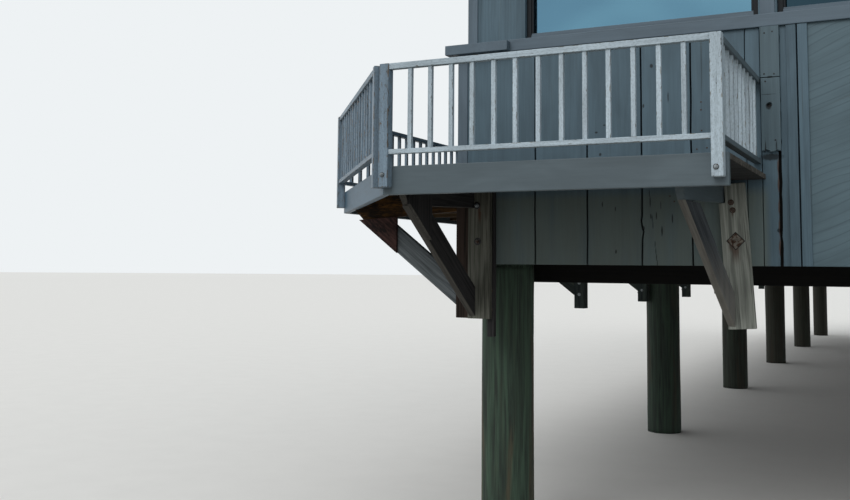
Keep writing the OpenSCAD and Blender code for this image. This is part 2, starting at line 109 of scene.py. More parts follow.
class Look(Nodes):
    """A material with its shader."""

    def __init__(self, name, roughness):
        self.material = bpy.data.materials.new(name)
        self.material.use_nodes = True
        super().__init__(self.material.node_tree)
        self.inputs = self.tree.nodes["Principled BSDF"].inputs
        self.inputs["Roughness"].default_value = roughness

    def mix(self, amount, low, high):
        return self.node("ShaderNodeMix", {0: amount, 6: low, 7: high}, data_type="RGBA").outputs[2]

    def over(self, colour, shade, amount):
        """A colour with a shade, six hex digits, laid over it."""
        return self.mix(amount, colour, srgb(shade))

    def steps(self, value, low, high, to_low=0.0, to_high=1.0):
        """A smooth change from one value to another while the input goes from low to high."""
        inputs = {"Value": value, "From Min": low, "From Max": high, "To Min": to_low, "To Max": to_high}
        return self.node("ShaderNodeMapRange", inputs, interpolation_type="SMOOTHSTEP").outputs[0]

    def read(self, name, output="Fac"):
        return self.node("ShaderNodeAttribute", {}, attribute_name=name).outputs[output]

    def where(self, output="Object"):
        return self.node("ShaderNodeTexCoord", {}).outputs[output]

    def vector(self, operation, *values):
        return self.node("ShaderNodeVectorMath", dict(enumerate(values)), operation=operation).outputs

    def split(self, vector):
        return self.node("ShaderNodeSeparateXYZ", {0: vector}).outputs

    def noise(self, vector, stretch, detail=4.0, warp=0.0):
        """Noise with its own fineness along each axis, in cycles to the metre."""
        scaled = self.vector("MULTIPLY", vector, stretch)[0]
        inputs = {"Vector": scaled, "Scale": 1.0, "Detail": detail, "Roughness": 0.6, "Distortion": warp}
        return self.node("ShaderNodeTexNoise", inputs).outputs["Fac"]

    def vary(self, colour, amount, low, high):
        """A colour made darker or lighter as the amount goes from 0 to 1."""
        value = self.steps(amount, 0.0, 1.0, low, high)
        inputs = {"Hue": 0.5, "Saturation": 1.0, "Value": value, "Fac": 1.0, "Color": colour}
        return self.node("ShaderNodeHueSaturation", inputs).outputs[0]

    def bump(self, height, strength, distance):
        made = self.node("ShaderNodeBump", {"Strength": strength, "Distance": distance, "Height": height})
        self.plug(self.inputs["Normal"], made.outputs[0])

    def colour(self, value):
        self.plug(self.inputs["Base Color"], value)


def spots(look, colour, marks, shade):
    """Knots, slits, cracks or stains, each at a point with a half width and a half height."""
    ragged = look.noise(look.where(), (70, 70, 30), 3.0)
    for point, wide, tall in marks:
        offset = look.vector("SUBTRACT", look.where(), point)[0]
        scaled = look.vector("MULTIPLY", offset, (1 / wide, 12.0, 1 / tall))[0]
        reach = look.vector("LENGTH", scaled)["Value"]
        colour = look.over(colour, shade, look.times(look.steps(look.plus(reach, ragged), 1.7, 1.1), 0.85))
    return colour


def rust_runs(look, colour, runs):
    """Rust that runs down from the fastenings, each at a point with a width and a length."""
    for point, width, length in runs:
        x, y, z = look.split(look.vector("SUBTRACT", look.where(), point)[0])
        wobble = look.noise(look.where(), (60, 60, 12), 2.0)
        across = look.calc("SQRT", look.plus(look.calc("POWER", x, 2.0), look.calc("POWER", y, 2.0)))
        near = look.steps(look.plus(across, look.times(wobble, width)), width * 1.6, width * 0.7)
        fall = look.times(look.steps(z, -length, 0.0), look.steps(z, width * 1.3, width * 0.4))
        colour = look.over(colour, "47291b", look.times(look.times(near, fall), 0.75))
    return colour


def plywood_lines(look, along, patches, coat, figured):
    """Growth rings of a sheet of plywood, which show as thin lines through the paint."""
    bend = look.noise(along, (1.6, 1.6, 0.9), 2.0)
    ring = look.plus(look.times(look.split(along)[1], 25.0), look.times(bend, 4.0))
    line = look.steps(look.calc("FRACT", ring), 0.20, 0.04)
    line = look.times(line, look.steps(patches, 0.38, 0.62, 0.25, 1.0))
    return look.over(coat, "1d262c", look.times(line, figured))


def wood(name, light, dark, knots=0.0, cracks=0.5, rough=0.85, fore=None, mottle=None, paint=None, worn=0.5,
         relief=0.05, spread=0.15, speckle=0.0, figured=0.0, soil=None, stains=(), marks=(), runs=()):
    """Timber with its grain along each board, and over it, if there is one, a worn coat of paint.

    Faces that look down may take another colour: painted shade where it is darker, painted light where it is
    lighter.
    A lighter colour may also lie below a height and left of a place in x, as painted light.
    """
    look = Look(name, rough)
    look.plug(look.inputs["Specular IOR Level"], 0.22)
    along = look.read("grain", "Vector")
    fine = look.noise(along, (95, 95, 3.5), 5.0, 0.3)
    broad = look.noise(along, (17, 17, 0.9), 3.0, 1.6)
    figure = look.plus(look.times(fine, 0.5), look.times(broad, 0.5))
    surface = look.mix(look.steps(figure, 0.36, 0.64), srgb(dark), srgb(light))
    crack = look.steps(look.noise(along, (62, 62, 1.3), 3.0, 0.5), 0.70 - 0.05 * cracks, 0.73)
    crack = look.times(crack, cracks)
    surface = look.over(surface, "16130f", crack)
    if knots:
        cells = {"Vector": look.vector("MULTIPLY", along, (7.5, 7.5, 1.7))[0], "Scale": 1.0}
        cell = look.node("ShaderNodeTexVoronoi", cells).outputs["Distance"]
        surface = look.over(surface, "2a2019", look.times(look.steps(cell, 0.14, 0.07), knots))
    # Faces that look down get another colour: painted shade where it is darker, painted light where it is
    # lighter
    if fore:
        down = look.steps(look.split(look.where("Normal"))[2], -0.25, -0.5)
        lower = look.vary(srgb(fore), look.steps(figure, 0.35, 0.65), 0.70, 1.2)
        surface = look.mix(look.times(down, 0.9), surface, lower)
    if mottle:
        blotch = look.plus(look.noise(along, (70, 70, 22), 6.0, 0.2), look.noise(along, (9, 9, 5), 2.0))
        surface = look.over(surface, mottle, look.steps(blotch, 0.85, 1.2))
    height = look.calc("SUBTRACT", look.times(figure, 0.5), crack)
    if paint:
        patches = look.noise(along, (5, 5, 1.6), 3.0, 0.4)
        coat = look.vary(srgb(paint), look.steps(patches, 0.3, 0.7), 0.90, 1.08)
        coat = look.vary(coat, look.steps(fine, 0.3, 0.7), 1.0 - relief, 1.0 + relief)
        coat = look.vary(coat, look.steps(broad, 0.35, 0.65), 1.0 - relief, 1.0 + relief)
        if figured:
            coat = plywood_lines(look, along, patches, coat, figured)
        if speckle:
            grit = look.noise(along, (230, 230, 90), 3.0, 0.2)
            coat = look.vary(coat, look.steps(grit, 0.42, 0.66), 1.0 + 0.3 * speckle, 1.0 - speckle)
        flakes = look.noise(along, (85, 85, 26), 4.0, 0.6)
        lift = look.plus(flakes, look.times(look.read("edge"), 0.10 * worn + 0.03))
        lift = look.plus(lift, look.times(patches, 0.22 * worn))
        bare = look.steps(lift, 0.90 - 0.17 * worn, 0.94 - 0.17 * worn)
        bare = look.calc("MAXIMUM", bare, look.times(crack, 0.8))
        surface = look.mix(bare, coat, surface)
        height = look.calc("SUBTRACT", look.times(figure, 0.35), look.times(bare, 0.6))
        look.plug(look.inputs["Roughness"], look.steps(bare, 0.0, 1.0, rough - 0.25, rough))
    # Painted light: a lighter colour below a height and left of a place in x
    if soil:
        low, high, side, shade, most = soil
        x, _, z = look.split(look.where())
        under = look.times(look.steps(z, high, low), look.steps(x, side + 0.05, side))
        streaks = look.noise(look.where(), (9, 9, 1.1), 4.0, 0.5)
        amount = look.times(under, look.steps(streaks, 0.2, 0.6, 0.55, 1.0))
        surface = look.over(surface, shade, look.times(amount, most))
    surface = look.vary(surface, look.read("tone"), 1.0 - spread, 1.0 + spread * 0.9)
    surface = spots(look, surface, stains, "4b382c")
    surface = spots(look, surface, marks, "101314")
    look.colour(rust_runs(look, surface, runs))
    look.bump(height, 0.55, 0.004)
    return look.material


def metal(name, clean, rust, rusted, size=140):
    """Galvanised steel, or steel that has rusted in spots of a size."""
    look = Look(name, 0.5)
    rusting = look.noise(look.where(), (size, size, size), 4.0, 0.3)
    amount = look.steps(rusting, 0.75 - rusted * 0.5, 0.85 - rusted * 0.5)
    shade = look.vary(srgb(clean), look.noise(look.where(), (300, 300, 300), 2.0), 0.8, 1.15)
    look.colour(look.over(shade, rust, amount))
    look.plug(look.inputs["Metallic"], look.steps(amount, 0.0, 1.0, 0.7, 0.0))
    look.plug(look.inputs["Roughness"], look.steps(amount, 0.0, 1.0, 0.42, 0.9))
    look.bump(rusting, 0.5, 0.002)
    return look.material


def pile_look():
    """Round treated timber: green with brown, streaked up and down, dark in its checks, and darker by its
    tone as painted shade.
    """
    look = Look("pile_wood", 0.8)
    along = look.read("grain", "Vector")
    tone = look.read("tone")
    streaks = look.noise(along, (42, 42, 1.7), 6.0, 0.4)
    patches = look.noise(along, (6, 6, 0.9), 3.0, 0.8)
    dark = look.steps(look.noise(along, (30, 30, 0.8), 4.0, 0.9), 0.60, 0.68)
    colour = look.over(srgb("141f18"), "394f3f", look.steps(streaks, 0.30, 0.70))
    colour = look.over(colour, "453c2b", look.times(look.steps(patches, 0.50, 0.66), 0.7))
    colour = look.over(colour, "141a15", look.times(dark, 0.75))
    colour = look.over(colour, "0d100d", look.times(look.read("deep"), 0.9))
    colour = look.over(colour, "3f3226", look.times(look.steps(tone, 0.75, 1.0), 0.5))
    # Painted shade: a higher tone darkens the pile, for the rows under the building
    look.colour(look.vary(colour, tone, 1.08, 0.55))
    look.bump(streaks, 0.7, 0.006)
    return look.material


def pane_look():
    """Tinted glass that mirrors the pale surroundings, with painted cloud reflections in its colour, each
    pane in its own tone, whose brightness is a painted reflection.
    """
    look = Look("pane", 0.05)
    painted_cloud_reflection = look.noise(look.where(), (0.9, 0.9, 1.3), 2.0, 0.4)
    tint = look.over(srgb("6089a0"), "6f9db2", look.steps(painted_cloud_reflection, 0.3, 0.7))
    # The tone paints each pane's reflection bright or dark
    look.colour(look.vary(tint, look.read("tone"), 0.20, 1.04))
    look.plug(look.inputs["Metallic"], 0.9)
    return look.material


def roof_look():
    """Mineral shingles, each in its own tone."""
    look = Look("shingle_cover", 0.92)
    grit = look.noise(look.where(), (420, 420, 420), 3.0)
    moss = look.noise(look.where(), (1.6, 1.6, 1.6), 5.0, 0.5)
    shade = look.over(srgb("4c5256"), "7d8385", look.steps(grit, 0.35, 0.65))
    shade = look.over(shade, "59604f", look.times(look.steps(moss, 0.55, 0.75), 0.4))
    look.colour(look.vary(shade, look.read("tone"), 0.72, 1.18))
    look.bump(grit, 0.6, 0.002)
    return look.material


# Meshes

class Boards:
    """Solids that make one piece. Each board keeps its own axes and tone, so grain runs along it."""

    def __init__(self):
        self.bm = bmesh.new()
        self.owner = self.bm.faces.layers.int.new("board")
        self.edge = self.bm.faces.layers.float.new("edge")
        self.axes = []
        self.shifts = []
        self.tones = []

    def start(self, along, tone=None):
        """Notes a new board with its grain along a direction."""
        along = along.normalized()
        side = along.cross(Z if abs(along.z) < 0.9 else X).normalized()
        self.axes.append([list(side), list(along.cross(side)), list(along)])
        self.shifts.append([rng.uniform(-9, 9) for _ in range(3)])
        drawn = rng.random()
        self.tones.append(drawn if tone is None else tone)
        return len(self.axes) - 1

    def face(self, points, index):
        """A face that belongs to a board."""
        made = self.bm.faces.new(points)
        made[self.owner] = index

    def block(self, points, index):
        """The six faces of a block, whose corners come as 000, 001, 010 and on, low or high in x, y, z."""
        for ring in ((0, 1, 3, 2), (4, 6, 7, 5), (0, 4, 5, 1), (2, 3, 7, 6), (0, 2, 6, 4), (1, 5, 7, 3)):
            self.face([points[k] for k in ring], index)

    def tube(self, rings, index):
        """Faces round a stack of rings of corners, closed at both ends."""
        self.face(rings[0][::-1], index)
        self.face(rings[-1], index)
        for low, high in zip(rings, rings[1:]):
            for k in range(len(low)):
                n = (k + 1) % len(low)
                self.face([low[k], low[n], high[n], high[k]], index)

    def take(self, faces, along, tone=None):
        """Copies a solid of another mesh as one board, its grain along the longest edge if none is given."""
        if along is None:
            # Kept in order, so that of equal edges the same one is taken in each run
            edges = dict.fromkeys(e for f in faces for e in f.edges)
            longest = max(edges, key=lambda e: e.calc_length())
            along = longest.verts[1].co - longest.verts[0].co
        index = self.start(along, tone)
        made = {v: self.bm.verts.new(v.co) for v in dict.fromkeys(v for f in faces for v in f.verts)}
        for f in faces:
            self.face([made[v] for v in f.verts], index)

    def whole(self, bm, along, tone=None):
        """Copies each separate solid of a mesh as a board."""
        for faces in islands(bm):
            self.take(faces, along, tone)

    def box(self, low, high, turn=Matrix(), along=None, tone=None):
        """A board from its low to its high corner, then turned."""
        ends = [(low[k], high[k]) for k in range(3)]
        if along is None:
            size = [b - a for a, b in ends]
            along = (X, Y, Z)[size.index(max(size))]
        index = self.start(turn.to_3x3() @ along, tone)
        places = [Vector((x, y, z)) for x in ends[0] for y in ends[1] for z in ends[2]]
        self.block([self.bm.verts.new(turn @ point) for point in places], index)

    def plate(self, outline, ends, along):
        """A board with an outline of x and z points, between two places in y."""
        index = self.start(along)
        self.tube([[self.bm.verts.new((x, y, z)) for x, z in outline] for y in ends], index)

    def turned(self, profile, sides, at, out, spin=0.0):
        """A shape of many sides round an axis: profile is radius and height along it, closed at both ends."""
        index = self.start(out)
        turn = Matrix.Translation(at) @ out.to_track_quat("Z", "Y").to_matrix().to_4x4()
        angles = [spin + math.tau * k / sides for k in range(sides)]
        self.tube([[self.bm.verts.new(turn @ Vector((radius * math.cos(a), radius * math.sin(a), height)))
                    for a in angles] for radius, height in profile], index)

    def done(self, name, material, slot=None, bevel=0.003, replaces=(), smooth=False):
        """Rounds the boards' edges, writes their grain coordinates, and makes the piece."""
        bmesh.ops.recalc_face_normals(self.bm, faces=self.bm.faces)
        if bevel:
            sharp = [e for e in self.bm.edges
                     if e.is_manifold and e.is_convex and e.calc_face_angle(0.0) > 0.4]
            made = bmesh.ops.bevel(self.bm, geom=sharp, offset=bevel, segments=2, profile=0.6, affect="EDGES")
            for f in made["faces"]:
                f[self.edge] = 1.0
        mesh = bpy.data.meshes.new(name)
        self.bm.to_mesh(mesh)
        self.bm.free()
        write_grain(mesh, np.array(self.axes), np.array(self.shifts), np.array(self.tones))
        if smooth:
            mesh.shade_smooth()
        mesh.materials.append(material)
        return hand_in(name, mesh, slot, replaces)


def write_grain(mesh, axes, shifts, tones):
    """Gives each face corner its place in its board's own axes, and the board's tone."""
    spot = np.empty(len(mesh.vertices) * 3)
    mesh.vertices.foreach_get("co", spot)
    vertex = np.empty(len(mesh.loops), int)
    mesh.loops.foreach_get("vertex_index", vertex)
    corners = np.empty(len(mesh.polygons), int)
    mesh.polygons.foreach_get("loop_total", corners)
    owner = np.empty(len(mesh.polygons), int)
    mesh.attributes["board"].data.foreach_get("value", owner)
    owner = np.repeat(owner, corners)
    local = np.einsum("nij,nj->ni", axes[owner], spot.reshape(-1, 3)[vertex]) + shifts[owner]
    grain = mesh.attributes.new("grain", "FLOAT_VECTOR", "CORNER")
    grain.data.foreach_set("vector", local.astype(np.float32).ravel())
    tone = mesh.attributes.new("tone", "FLOAT", "CORNER")
    tone.data.foreach_set("value", tones[owner].astype(np.float32))


def shown(name, data):
    """An object in the scene."""
    made = bpy.data.objects.new(name, data)
    bpy.context.scene.collection.objects.link(made)
    return made


def hand_in(name, mesh, slot, replaces):
    """Makes the mesh a piece that stands on the building's one body."""
    piece = shown(name, mesh)
    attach(piece, "root")
    if replaces:
        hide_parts(*replaces)
    return piece


def cad(node):
    """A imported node's mesh, with its flat faces whole again."""
    bm = bmesh.new()
    bm.from_mesh(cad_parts[node].data)
    bmesh.ops.remove_doubles(bm, verts=bm.verts, dist=1e-5)
    bmesh.ops.dissolve_limit(bm, angle_limit=0.01, verts=bm.verts, edges=bm.edges)
    return bm


def everything(bm):
    """All of a mesh, as the calls that cut it want it."""
    return bm.verts[:] + bm.edges[:] + bm.faces[:]


def islands(bm):
    """The separate solids of a mesh, each as its faces."""
    left = dict.fromkeys(bm.faces)
    found = []
    while left:
        first = next(iter(left))
        del left[first]
        group = [first]
        for f in group:
            for e in f.edges:
                for other in e.link_faces:
                    if other in left:
                        del left[other]
                        group.append(other)
        found.append(group)
    return found


def solid_boxes(node):
    """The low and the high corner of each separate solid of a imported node."""
    bm = cad(node)
    found = []
    for faces in islands(bm):
        points = [v.co for f in faces for v in f.verts]
        low, high = (Vector([pick(p[k] for p in points) for k in range(3)]) for pick in (min, max))
        found.append((low, high))
    return found


def y_places(node):
    """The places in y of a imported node's corners, from front to rear."""
    return sorted({round(v.co.y, 4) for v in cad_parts[node].data.vertices})


def part_below(bm, point, normal):
    """The closed part of a mesh that lies behind a plane."""
    part = bm.copy()
    made = bmesh.ops.bisect_plane(part, geom=everything(part), plane_co=point, plane_no=normal,
                                  clear_outer=True)
    rim = [g for g in made["geom_cut"] if isinstance(g, bmesh.types.BMEdge)]
    bmesh.ops.holes_fill(part, edges=rim, sides=0)
    return part


def sliced(bm, axis, cuts, gap=0.0):
    """A mesh cut across an axis at each place, with a gap between the parts."""
    parts = []
    rest = bm
    for cut in cuts:
        parts.append(part_below(rest, axis * (cut - gap / 2), axis))
        rest = part_below(rest, axis * (cut + gap / 2), -axis)
    return parts + [rest]


taken = set()


def timber(name, material, slot, nodes, bevel=0.003, axis=X, cuts=(), gap=0.0, along=None, span=None):
    """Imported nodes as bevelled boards, cut into narrower ones where cuts say so.

    With a span, only the solids whose middle lies in it are taken, in x from the corner. The first piece
    made of a node replaces it.
    """
    boards = Boards()
    for node in nodes:
        for part in sliced(cad(node), axis, cuts, gap):
            for faces in islands(part):
                places = [v.co.x for f in faces for v in f.verts]
                middle = (min(places) + max(places)) / 2 - corner.x
                if span is None or span[0] < middle < span[1]:
                    boards.take(faces, along)
    boards.done(name, material, slot, bevel, [node for node in nodes if node not in taken])
    taken.update(nodes)


def seams(low, high, first, board):
    """Places of board seams between two ends."""
    count = math.ceil((high - first) / board)
    return [first + k * board for k in range(count) if low < first + k * board < high]


def planks(name, material, slot, node, bevel, k, gap, board=0.14):
    """A packed floor as planks of one width, side by side along x (0) or y (1)."""
    low, high = (end[k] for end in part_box(node))
    cuts = seams(low, high, low + board, board)
    timber(name, material, slot, [node], bevel, (X, Y)[k], cuts, gap, along=(Y, X)[k])


# Finishes

def kept(name, paint, cracks=0.2, worn=0.1, relief=0.03, spread=0.04):
    """A board whose paint has kept well."""
    return wood(name, "7a7a70", "474741", cracks=cracks, rough=0.7, paint=paint, worn=worn, relief=relief,
                spread=spread)


def bare(name, light, dark, knots=0.4, cracks=0.6, **more):
    """Timber that was never painted."""
    return wood(name, light, dark, knots=knots, cracks=cracks, rough=0.9, **more)


bay_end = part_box("front_deck")[1].x
# Painted light: the grey brace's lower part lighter, as if the deck shaded only its upper part
brace_foot_painted_light = (corner.z - 0.22, corner.z + 0.16, bay_end + 1.0, "8b8983", 0.6)
# Painted light: a lighter, greener colour on the siding under the deck, for light bounced up from the sand
under_deck_painted_light = (corner.z + 0.36, corner.z + 0.44, bay_end - 0.02, "6e7465", 0.5)
crack = [(place(1.162 + 0.04 * k / 11, 0, 0.399 - 0.39 * k / 11), 0.0024, 0.022)
         for k in (0, 1, 4, 5, 8, 9, 10, 11)]
knots = [(place(x, 0, z), wide, tall) for x, z, wide, tall in (
    (1.181, 1.114, 0.010, 0.014), (1.134, 0.890, 0.006, 0.012), (1.272, 0.931, 0.004, 0.030),
    (0.861, 0.755, 0.009, 0.007), (0.908, 0.794, 0.007, 0.006), (0.883, 0.627, 0.008, 0.010),
    (0.894, 0.343, 0.004, 0.016), (0.969, 0.314, 0.004, 0.014), (0.971, 0.075, 0.005, 0.012),
    (1.230, 0.188, 0.005, 0.028), (1.288, 0.255, 0.004, 0.026), (1.200, 0.273, 0.004, 0.022),
    (1.169, 0.270, 0.004, 0.016), (1.166, 0.345, 0.003, 0.030), (1.225, 0.330, 0.002, 0.024),
    (1.128, 0.205, 0.007, 0.014), (1.840, 0.186, 0.010, 0.012), (1.812, 0.574, 0.060, 0.020))]
rot = [(place(1.846, 0, z), 0.008, 0.05) for z in (0.52, 0.43, 0.31, 0.20, 0.10)]
rot_marks = [(place(x, 0, z), wide, tall) for x, z, wide, tall in (
    (1.814, 0.997, 0.016, 0.006), (1.80, 0.905, 0.045, 0.0018), (1.805, 0.845, 0.016, 0.022),
    (1.80, 0.588, 0.06, 0.014), (1.785, 0.62, 0.004, 0.05), (1.84, 0.63, 0.003, 0.04))]
right_plank_runs = [(place(x, -0.038, z), wide, tall) for x, z, wide, tall in (
    (1.627, 0.085, 0.026, 0.10), (1.600, 0.12, 0.014, 0.06), (1.614, 0.285, 0.008, 0.04))]
left_plank_runs = [(place(x, -0.076, z), wide, tall) for x, z, wide, tall in (
    (0.165, 0.34, 0.012, 0.12), (0.172, 0.30, 0.010, 0.08))]

walls = {"light": "6f7367", "dark": "3f423c", "cracks": 0.55, "rough": 0.75, "paint": "4f636e", "worn": 0.2}
siding = wood("siding_paint", **walls, soil=under_deck_painted_light, relief=0.07, spread=0.07)
rear_paint = wood("rear_siding_paint", **walls, relief=0.07, spread=0.07)
front_paint = wood("front_siding_paint", **walls, soil=under_deck_painted_light, marks=crack + knots, stains=rot,
                   spread=0.05)
walls.update(cracks=0.35, paint="54676f", worn=0.15)
panel_paint = wood("panel_paint", **walls, relief=0.03, spread=0.03, figured=0.30)
walls.update(cracks=0.6, paint="55676f", worn=0.3)
rail_end_wood = wood("rail_end_paint", **walls, marks=rot_marks, relief=0.06, spread=0.04)
walls.update(cracks=0.5, paint="4b565b", rough=0.8)
joist_paint = wood("joist_paint", **walls)
trim = kept("trim_paint", "5b6a75", 0.3, 0.15, spread=0.05)
edge_paint = kept("edge_board_paint", "576369", relief=0.025)
# A bluer, darker copy of the edge paint: painted sky light on the cut edge's face
cut_edge_painted_sky_light = kept("cut_edge_painted_sky_light", "435c6d")
railing_paint = wood("rail_paint", "8d8c84", "4b4a45", cracks=0.8, rough=0.7, paint="a9b8c1", worn=0.8,
                     relief=0.08, spread=0.08, speckle=0.17)
# A darker copy of the rail paint, as painted shade, and more worn
worn_rail_paint_painted_shade = wood("worn_rail_paint_painted_shade", "7a6f63", "45413b", cracks=0.8, rough=0.7, paint="728492",
                       worn=0.95, relief=0.12, spread=0.10, speckle=0.2)
window_paint = wood("window_frame_paint", "303232", "1b1c1c", cracks=0.3, rough=0.8, paint="12181c", worn=0.1,
                    relief=0.03, spread=0.04)
soffit_wood = wood("soffit_paint", "84847a", "55554d", cracks=0.3, rough=0.8, paint="8b979c", worn=0.15)
floor_wood = wood("floor_wood", "4f473d", "2c2620", cracks=0.4)
# Its downward faces dark, as painted shade
deck_wood = wood("deck_wood", "5b5852", "2f2c28", knots=0.3, cracks=0.6, rough=0.9, fore="1f2021")
# Their downward faces lighter, as painted light
dark_bracket = bare("dark_bracket_wood", "363536", "181819", 0.5, 0.7, fore="4f4d49")
grey_brace = bare("grey_brace_wood", "474c50", "282b2e", 0.6, 0.8, soil=brace_foot_painted_light, fore="6f6d68")
side_bracket = bare("side_bracket_wood", "434c48", "20262a", 0.5, 0.8)
corner_wood = bare("corner_brace_wood", "6d7477", "44494c", 0.6, 0.8)
right_plank_wood = bare("right_plank_wood", "a3a79f", "6c706a", 0.5, 0.8, runs=right_plank_runs)
left_plank_wood = bare("left_plank_wood", "72736a", "41423b", 0.5, 0.8, runs=left_plank_runs)
stained = bare("stained_wood", "4a3430", "241816", mottle="140e0d")
stud_wood = bare("stud_wood", "3a2f2a", "14100e")
orange_wood = bare("orange_joist_wood", "6b4a22", "2e1f10", mottle="170f09")
joist_wood = bare("joist_wood", "57452f", "2c2017")
# Nearly black, as painted shade under the building and in the wall seams
frame_wood_painted_shade = bare("frame_wood_painted_shade", "100f0e", "050505", 0.0)
galvanised = metal("galvanised_steel", "8d9497", "5a4234", 0.35)
dark_steel = metal("dark_steel", "272727", "221813", 0.4)
washer_steel = metal("washer_steel", "6b665e", "3d281b", 0.56, 60)
rusty = metal("rusty_steel", "57544f", "3c2a20", 0.7)
pile_wood, pane, shingle = pile_look(), pane_look(), roof_look()

# Walls

skin = 0.022
seam_gap, narrow_gap = 0.009, 0.004
siding_w, panel_w = 0.305, 1.22
wall_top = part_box("front_lower_wall")[1].z
knotted_seam, torn_seam, first_sheet = 1.120, 1.853, 1.950
narrow_seams = (1.686, 1.763, 2.252)
sheet_grain = Vector((0.93, 0, 0.37))


def wavy_side(seam, side, low, high):
    """Points up a board's edge at a seam, which is never quite straight."""
    points = []
    count, sway_most, knot_sway, tear = 41, 0.004, 0.007, 0.007
    gap = narrow_gap if seam in narrow_seams else seam_gap
    for k in range(count + 1):
        z = low + (high - low) * k / count
        up = z - corner.z
        sway = noise.noise(Vector((seam * 5, z * 4, 3.0))) * sway_most
        if seam == knotted_seam:
            # It bends to one side, then to the other, past a knot
            sway += knot_sway * math.exp(-((up - 0.185) / 0.025) ** 2)
            sway -= knot_sway * math.exp(-((up - 0.235) / 0.02) ** 2)
        if seam == torn_seam:
            sway += noise.noise(Vector((side * 7.0, z * 38, 5.0))) * tear + side * 0.003
        if k in (0, count) and seam in (0, width):
            sway = 0.0
        points.append((corner.x + seam + side * gap / 2 + sway, z))
    return points


def end_siding(name, material, edges, depth, nodes=(), along=Z):
    """A layer of upright boards on an end wall, with an open seam between each two."""
    boards = Boards()
    for left, right in zip(edges, edges[1:]):
        # The outermost edges stand at the corner itself
        rising = wavy_side(left, 1 if left > 0 else 0, corner.z, wall_top)
        falling = wavy_side(right, -1 if right < width else 0, corner.z, wall_top)
        boards.plate(rising + falling[::-1], depth, along)
    boards.done(name, material, "wall_paint", 0.003, nodes)


def between_ends(bm):
    """The part of a side wall that lies between the end walls' layers."""
    front = corner.y + skin + clear
    rear = far_corner.y - skin - clear
    return part_below(part_below(bm, Y * front, -Y), Y * rear, Y)


def side_siding(name, node, outer_x, inward):
    """A layer of upright boards on a side wall, between the end walls' layers."""
    low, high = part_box(node)
    layer = between_ends(part_below(cad(node), X * outer_x, inward))
    boards = Boards()
    narrowest = 0.1
    cuts = seams(low.y + narrowest, high.y - narrowest, low.y + siding_w, siding_w)
    for part in sliced(layer, Y, cuts, seam_gap):
        boards.whole(part, Z)
    boards.done(name, siding, "wall_paint", 0.003, [node])


def wall_cores():
    """The walls behind the outer layer of boards, whole, nearly black as painted shade in the seams."""
    boards = Boards()
    inside = skin + clear
    for node, point, normal in (("front_lower_wall", Y * (corner.y + inside), -Y),
                                ("rear_lower_wall", Y * (far_corner.y - inside), Y),
                                ("left_lower_wall", X * (corner.x + inside), -X),
                                ("right_lower_wall", X * (far_corner.x - inside), X)):
        core = part_below(cad(node), point, normal)
        boards.whole(between_ends(core) if normal.x else core, Z)
    boards.done("wall_cores", frame_wood_painted_shade, "frame_timber", 0.001)


def rail_end():
    """The board at the rail's wall end: a joint near its top, and a lower end rotted to points."""
    boards = Boards()
    low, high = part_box("rail_end_board")
    joint, joint_gap, cuts, least, ragged = place(0, 0, 0.996).z, 0.004, 18, 0.012, 0.022
    for part in sliced(cad("rail_end_board"), Z, [joint], joint_gap):
        for k in range(1, cuts):
            at = X * (low.x + (high.x - low.x) * k / cuts)
            bmesh.ops.bisect_plane(part, geom=everything(part), plane_co=at, plane_no=X)
        for v in part.verts:
            if v.co.z < low.z + 0.001:
                tooth = noise.noise(Vector((v.co.x * 90, 1.0, 0.0)))
                tooth += noise.noise(Vector((v.co.x * 330, 2.0, 0.0)))
                v.co.z += max(0.0, least + tooth * ragged)
        boards.whole(part, Z)
    boards.done("rail_end_trim", rail_end_wood, "trim_paint", 0.0015, ["rail_end_board"])


front_edges = [0, 0.490, 0.805, knotted_seam, 1.395, 1.686, 1.763, torn_seam, first_sheet, 2.252]
sheets_from = front_edges.index(first_sheet)
least_sheet = 0.2
while front_edges[-1] + panel_w < width - least_sheet:
    front_edges.append(front_edges[-1] + panel_w)
rear_edges = [0] + [0.15 + siding_w * k for k in range(16)] + [width]
front, rear = (corner.y, corner.y + skin), (far_corner.y - skin, far_corner.y)
end_siding("front_siding", front_paint, front_edges[:sheets_from + 1], front, ["front_lower_wall"])
end_siding("front_sheets", panel_paint, front_edges[sheets_from:] + [width], front, along=sheet_grain)
end_siding("rear_siding", rear_paint, rear_edges, rear, ["rear_lower_wall"])
side_siding("left_siding", "left_lower_wall", corner.x + skin, X)
side_siding("right_siding", "right_lower_wall", far_corner.x - skin, -X)
wall_cores()
timber("end_upper_walls", siding, "wall_paint", ["front_upper_wall", "rear_upper_wall"], along=Z)
timber("side_upper_walls", siding, "wall_paint", ["left_upper_wall", "right_upper_wall"], along=Z)
timber("sill_boards", trim, "trim_paint", ["sill_beams"], 0.004)
timber("corner_ledge_board", trim, "trim_paint", ["corner_ledge"], 0.004)
timber("corner_trim", trim, "trim_paint", ["corner_boards"], 0.002, along=Z)
timber("seam_batten_boards", siding, "wall_paint", ["seam_battens"], along=Z)
rail_end()

# Piles and floor

